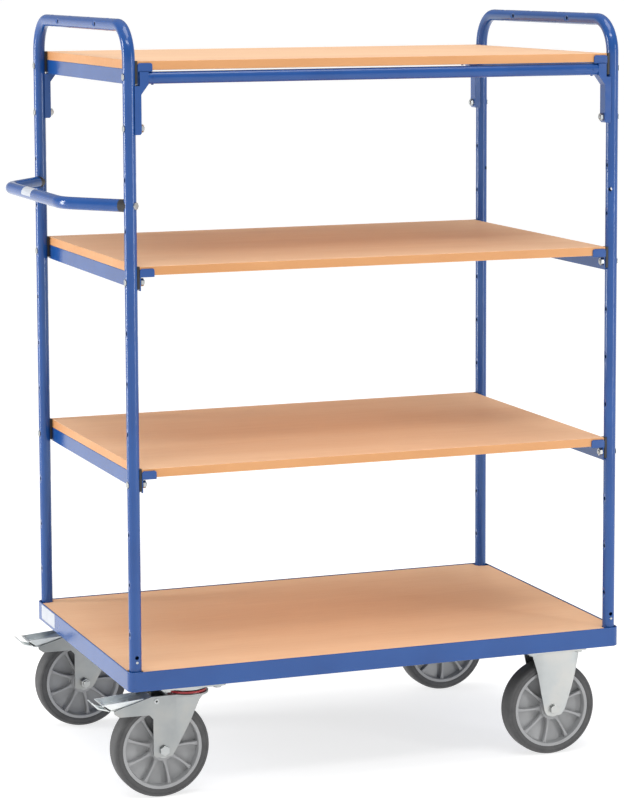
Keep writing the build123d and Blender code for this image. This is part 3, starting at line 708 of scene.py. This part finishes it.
def ribs_between(hub, ring, thickness, rise, flare, lean):
    """Ribs from hub radius to ring radius, thicker and taller at both ends. The first runs along +X."""
    bm = bmesh.new()
    bmesh.ops.create_cube(bm, size=1.0)
    lengthwise = [edge for edge in bm.edges if abs(edge.verts[0].co.x - edge.verts[1].co.x) > 0.5]
    bmesh.ops.subdivide_edges(bm, edges=lengthwise, cuts=RIB_CUTS, use_grid_fill=True)
    for vert in bm.verts:
        along = vert.co.x + 0.5
        end = abs(2 * along - 1) ** 4
        height = 2 * vert.co.y * (rise + 0.3 * flare * end)
        across = 2 * vert.co.z * (thickness / 2 + flare * end) + lean * math.sin(math.pi * along)
        vert.co = (hub + along * (ring - hub), height, across)
    bmesh.ops.recalc_face_normals(bm, faces=bm.faces)
    crests = [edge for edge in bm.edges if edge.calc_face_angle(0.0) > math.radians(60)]
    bmesh.ops.bevel(bm, geom=crests, offset=RIB_ARRIS, affect="EDGES", segments=2, profile=0.5, material=-1)
    bmesh.ops.spin(bm, geom=bm.verts[:] + bm.edges[:] + bm.faces[:], cent=(0, 0, 0), axis=(0, 1, 0),
                   dvec=(0, 0, 0), angle=2 * math.pi * (RIBS - 1) / RIBS, steps=RIBS - 1, use_duplicate=True)
    return bm


# %% The rims
# How far each wheel has turned before it stopped, in degrees.
STOPPED_AT = {"swivel_rim_front": -2.0, "swivel_rim_back": 1.0, "fixed_rim_front": 20.0, "fixed_rim_back": 12.0}
BORE, HUB, RING_DEPTH = 14.2 * MM, 24.0 * MM, 6.5 * MM
WEB_HALF, RING_HALF = 3.0 * MM, 21.0 * MM
CHAMFER, ROOT = 0.8 * MM, 4 * MM
FILLET = 1.6  # how many times thicker the web is where it meets hub and ring


def rim(node):
    centre, size = middle_and_size(node)
    outer = size.z / 2
    hub_half = size.y / 2
    ring = outer - RING_DEPTH
    half = [(BORE, hub_half), (HUB - CHAMFER, hub_half), (HUB, hub_half - CHAMFER),
            (HUB + 1.5 * MM, WEB_HALF * FILLET), (HUB + ROOT, WEB_HALF), (ring - ROOT, WEB_HALF),
            (ring - 1.2 * MM, WEB_HALF * FILLET), (ring, RING_HALF - MM), (ring + MM, RING_HALF),
            (outer, RING_HALF)]
    bm = turned(half + [(radius, -along) for radius, along in reversed(half)], Vector((0, 0, 0)))
    ribs = ribs_between(HUB - 0.5 * MM, ring + 1.0 * MM, thickness=4.5 * MM, rise=14.5 * MM, flare=3.2 * MM,
                        lean=1.5 * MM)
    spokes = bpy.data.meshes.new(node + "_ribs")
    ribs.to_mesh(spokes)
    ribs.free()
    bm.from_mesh(spokes)
    bpy.data.meshes.remove(spokes)
    turn = Matrix.Rotation(math.radians(STOPPED_AT[node]), 3, "Y")
    bmesh.ops.rotate(bm, cent=(0, 0, 0), matrix=turn, verts=bm.verts)
    bmesh.ops.translate(bm, vec=centre, verts=bm.verts)
    made = shaded(bm, node + "_moulding", FINISHES["rim_grey"], 35)
    return stands_for(made, node)


for node in STOPPED_AT:
    moulding = rim(node)
    print(moulding.name, [round(d, 4) for d in moulding.dimensions], len(moulding.data.polygons), "faces")

# %% [markdown]
# ## Labels
#
# Two blank stickers: a plate-like one on the deck's left skirt, near its back corner, and a small one
# wrapped round the push handle. Both are film a tenth of a millimetre thick. The first is a flat box with
# round corners, and the second is a thin section spun round the tube's axis.

# %% The label on the skirt
FILM = 0.1 * MM
SKIRT_LABEL = (FILM, 105 * MM, 31 * MM)
deck_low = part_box("deck_frame")[0]
skirt_spot = (deck_low.x - FILM / 2, 259 * MM, deck_low.z + 22 * MM)

bm = bmesh.new()
bmesh.ops.create_cube(bm, size=1.0)
bmesh.ops.scale(bm, vec=SKIRT_LABEL, verts=bm.verts)
rounded = [edge for edge in bm.edges if abs(edge.verts[0].co.x - edge.verts[1].co.x) > FILM / 2]
bmesh.ops.bevel(bm, geom=rounded, offset=2 * MM, affect="EDGES", segments=4, profile=0.5, material=-1)
bmesh.ops.translate(bm, vec=skirt_spot, verts=bm.verts)
skirt_label = from_bmesh("skirt_label", bm)
dress(skirt_label, label_film)
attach(skirt_label, body_of_node["deck_frame"])

# %% The label round the handle
# Its section is a thin rectangle just outside the tube, which is spun part of the way round it.
LABEL_START, LABEL_END = -8 * MM, 62 * MM
FIRST_ANGLE, WRAP_ANGLE = math.radians(-15), math.radians(140)
handle_low, handle_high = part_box("push_handle")
tube_radius = 12.5 * MM
tube_axis = Vector((handle_low.x + tube_radius, 0.0, handle_high.z - tube_radius))

bm = bmesh.new()
section = ((0.0, LABEL_START), (0.0, LABEL_END), (FILM, LABEL_END), (FILM, LABEL_START))
flat = [bm.verts.new((-tube_radius - depth, along, 0.0)) for depth, along in section]
for k in range(len(flat)):
    bm.edges.new((flat[k], flat[(k + 1) % len(flat)]))
bmesh.ops.rotate(bm, cent=(0, 0, 0), matrix=Matrix.Rotation(FIRST_ANGLE, 3, "Y"), verts=bm.verts)
bmesh.ops.spin(bm, geom=bm.verts[:] + bm.edges[:], cent=(0, 0, 0), axis=(0, 1, 0), dvec=(0, 0, 0),
               angle=WRAP_ANGLE, steps=24)
bmesh.ops.recalc_face_normals(bm, faces=bm.faces)
bmesh.ops.translate(bm, vec=tube_axis, verts=bm.verts)
handle_label = shaded(bm, "handle_label", label_film, 40)
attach(handle_label, body_of_node["push_handle"])
